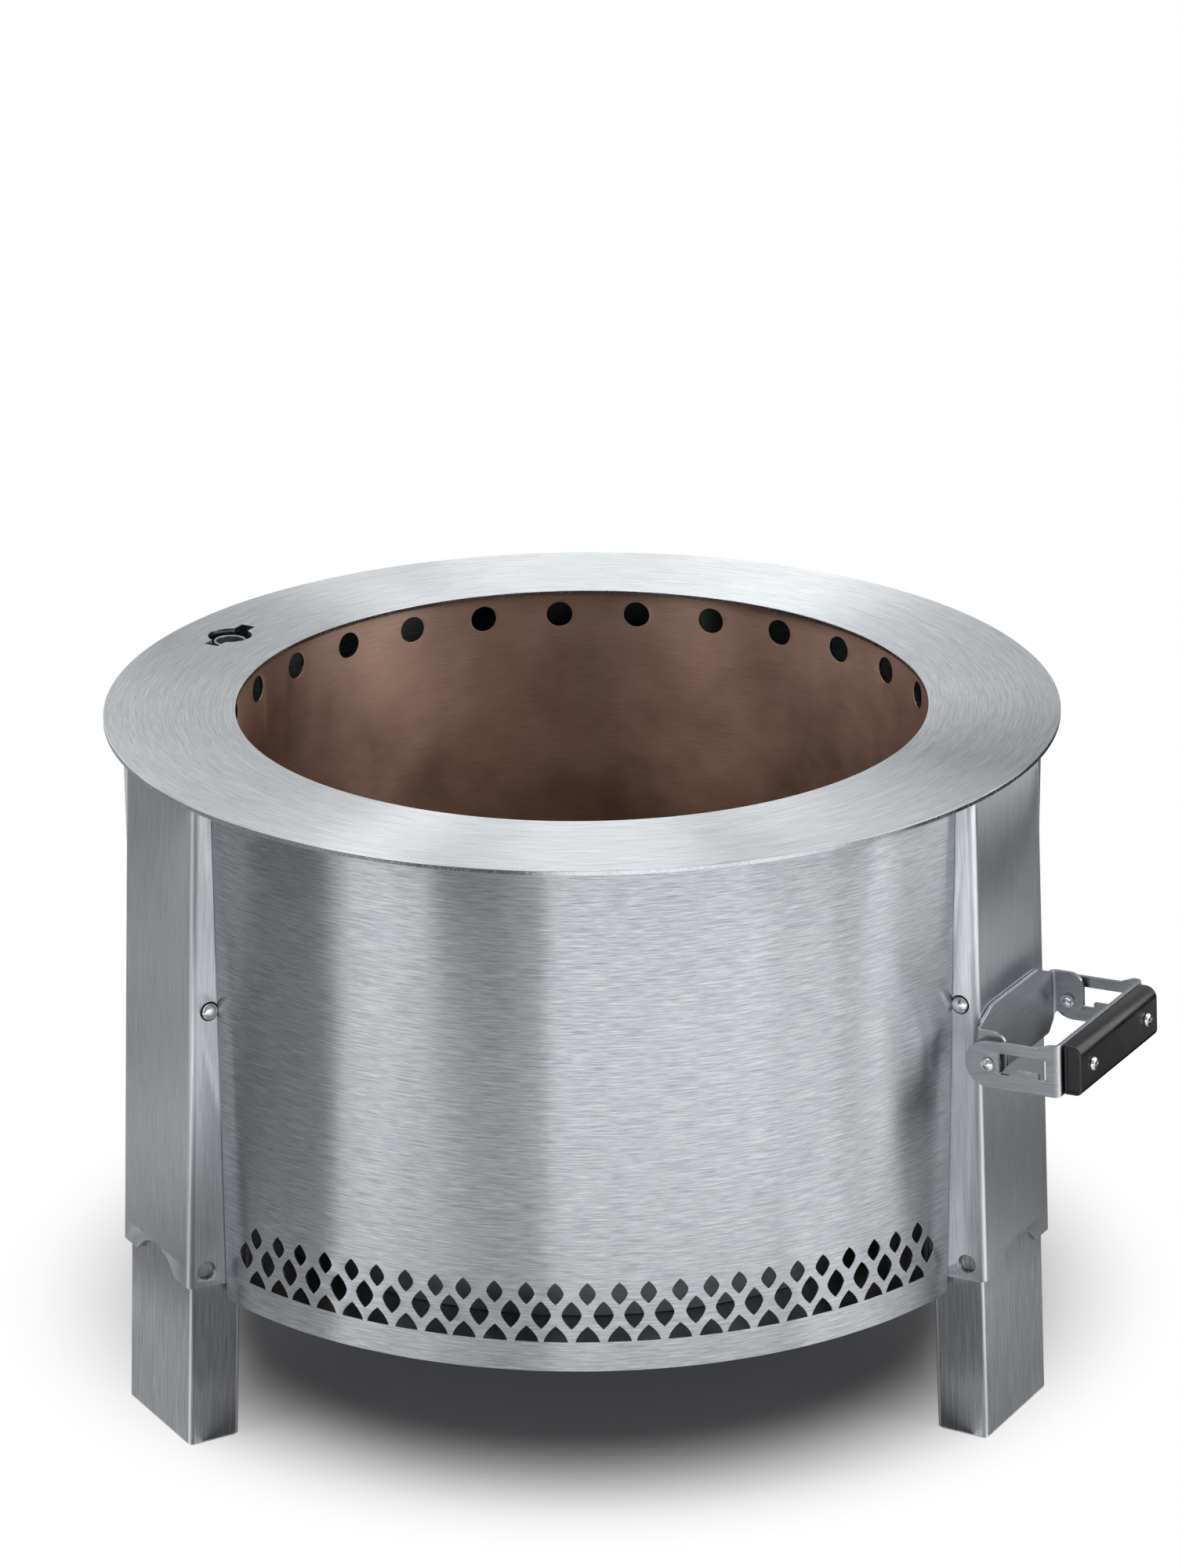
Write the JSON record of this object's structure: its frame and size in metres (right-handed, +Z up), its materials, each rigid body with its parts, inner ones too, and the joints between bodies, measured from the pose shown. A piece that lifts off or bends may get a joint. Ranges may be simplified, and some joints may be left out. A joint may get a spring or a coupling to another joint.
{
  "type": "smokeless fire pit",
  "caption": "Round double-walled wood fire pit with a flat rim, a vented shell, splayed legs that lock with snap buttons, and a folding carry handle.",
  "frame": {"origin": "centre of the base plate's underside", "axes": "+Z up along the axis of the burn chamber, +X towards the leg that carries the handle"},
  "size_m": [0.6327, 0.56, 0.3943],
  "materials": {
    "stainless": "fine brushed",
    "leg_steel": "brushed along the leg",
    "heat_tinted_steel": "brushed, tinted straw to brown by heat",
    "spring_steel": "smooth",
    "bright_steel": "smooth and bright",
    "black_nylon": "satin"
  },
  "bodies": {
    "fire_pit": {"rim_plate": "stainless", "base_plate": "leg_steel", "burn_chamber": "heat_tinted_steel", "chamber_floor": "heat_tinted_steel", "receiver_tube": "stainless", "receiver_clip_1": "stainless", "receiver_clip_2": "stainless", "shell_panel_1": "stainless", "shell_panel_2": "stainless", "shell_panel_3": "stainless", "leg_sleeve_1": "stainless", "sleeve_back_1": "stainless", "leg_sleeve_2": "stainless", "sleeve_back_2": "stainless", "leg_sleeve_3": "stainless", "sleeve_back_3": "stainless", "handle_bracket": "stainless", "pivot_screw_left": "bright_steel", "pivot_nut_left": "bright_steel", "pivot_spacer_left": "black_nylon", "pivot_screw_right": "bright_steel", "pivot_nut_right": "bright_steel", "pivot_spacer_right": "black_nylon"},
    "leg_1_body": {"leg_1": "leg_steel"},
    "catch_1_left": {"snap_button_1_left": "bright_steel", "leaf_spring_1_left": "spring_steel"},
    "catch_1_right": {"snap_button_1_right": "bright_steel", "leaf_spring_1_right": "spring_steel"},
    "leg_2_body": {"leg_2": "leg_steel"},
    "catch_2_left": {"snap_button_2_left": "bright_steel", "leaf_spring_2_left": "spring_steel"},
    "catch_2_right": {"snap_button_2_right": "bright_steel", "leaf_spring_2_right": "spring_steel"},
    "leg_3_body": {"leg_3": "leg_steel"},
    "catch_3_left": {"snap_button_3_left": "bright_steel", "leaf_spring_3_left": "spring_steel"},
    "catch_3_right": {"snap_button_3_right": "bright_steel", "leaf_spring_3_right": "spring_steel"},
    "handle": {"handle_bail": "stainless", "handle_grip": "black_nylon", "grip_screw_left": "bright_steel", "grip_screw_right": "bright_steel"}
  },
  "joints": [
    {"name": "leg_1_slide", "type": "slide", "parent": "fire_pit", "child": "leg_1_body", "axis": [0.045, 0, -0.999], "range_m": [0, 0.2], "deforming": ["snap_button_1_left", "snap_button_1_right"]},
    {"name": "catch_1_left_press", "type": "hinge", "parent": "leg_1_body", "child": "catch_1_left", "pos_m": [0.27411, 0.038, 0.087], "axis": [0.999, 0, 0.045], "range_deg": [0, 3.8], "stiffness_Nm_per_rad": 10},
    {"name": "catch_1_right_press", "type": "hinge", "parent": "leg_1_body", "child": "catch_1_right", "pos_m": [0.27411, -0.038, 0.087], "axis": [-0.999, 0, -0.045], "range_deg": [0, 3.8], "stiffness_Nm_per_rad": 10},
    {"name": "leg_2_slide", "type": "slide", "parent": "fire_pit", "child": "leg_2_body", "axis": [-0.0225, 0.039, -0.999], "range_m": [0, 0.2], "deforming": ["snap_button_2_left", "snap_button_2_right"]},
    {"name": "catch_2_left_press", "type": "hinge", "parent": "leg_2_body", "child": "catch_2_left", "pos_m": [-0.16996, 0.21839, 0.087], "axis": [-0.4995, 0.8651, 0.045], "range_deg": [0, 3.8], "stiffness_Nm_per_rad": 10},
    {"name": "catch_2_right_press", "type": "hinge", "parent": "leg_2_body", "child": "catch_2_right", "pos_m": [-0.10415, 0.25639, 0.087], "axis": [0.4995, -0.8651, -0.045], "range_deg": [0, 3.8], "stiffness_Nm_per_rad": 10},
    {"name": "leg_3_slide", "type": "slide", "parent": "fire_pit", "child": "leg_3_body", "axis": [-0.0225, -0.039, -0.999], "range_m": [0, 0.2], "deforming": ["snap_button_3_left", "snap_button_3_right"]},
    {"name": "catch_3_left_press", "type": "hinge", "parent": "leg_3_body", "child": "catch_3_left", "pos_m": [-0.10415, -0.25639, 0.087], "axis": [-0.4995, -0.8651, 0.045], "range_deg": [0, 3.8], "stiffness_Nm_per_rad": 10},
    {"name": "catch_3_right_press", "type": "hinge", "parent": "leg_3_body", "child": "catch_3_right", "pos_m": [-0.16996, -0.21839, 0.087], "axis": [0.4995, 0.8651, -0.045], "range_deg": [0, 3.8], "stiffness_Nm_per_rad": 10},
    {"name": "handle_fold", "type": "hinge", "parent": "fire_pit", "child": "handle", "pos_m": [0.29447, 0, 0.15058], "axis": [0, 1, 0], "range_deg": [-80, 85]}
  ]
}
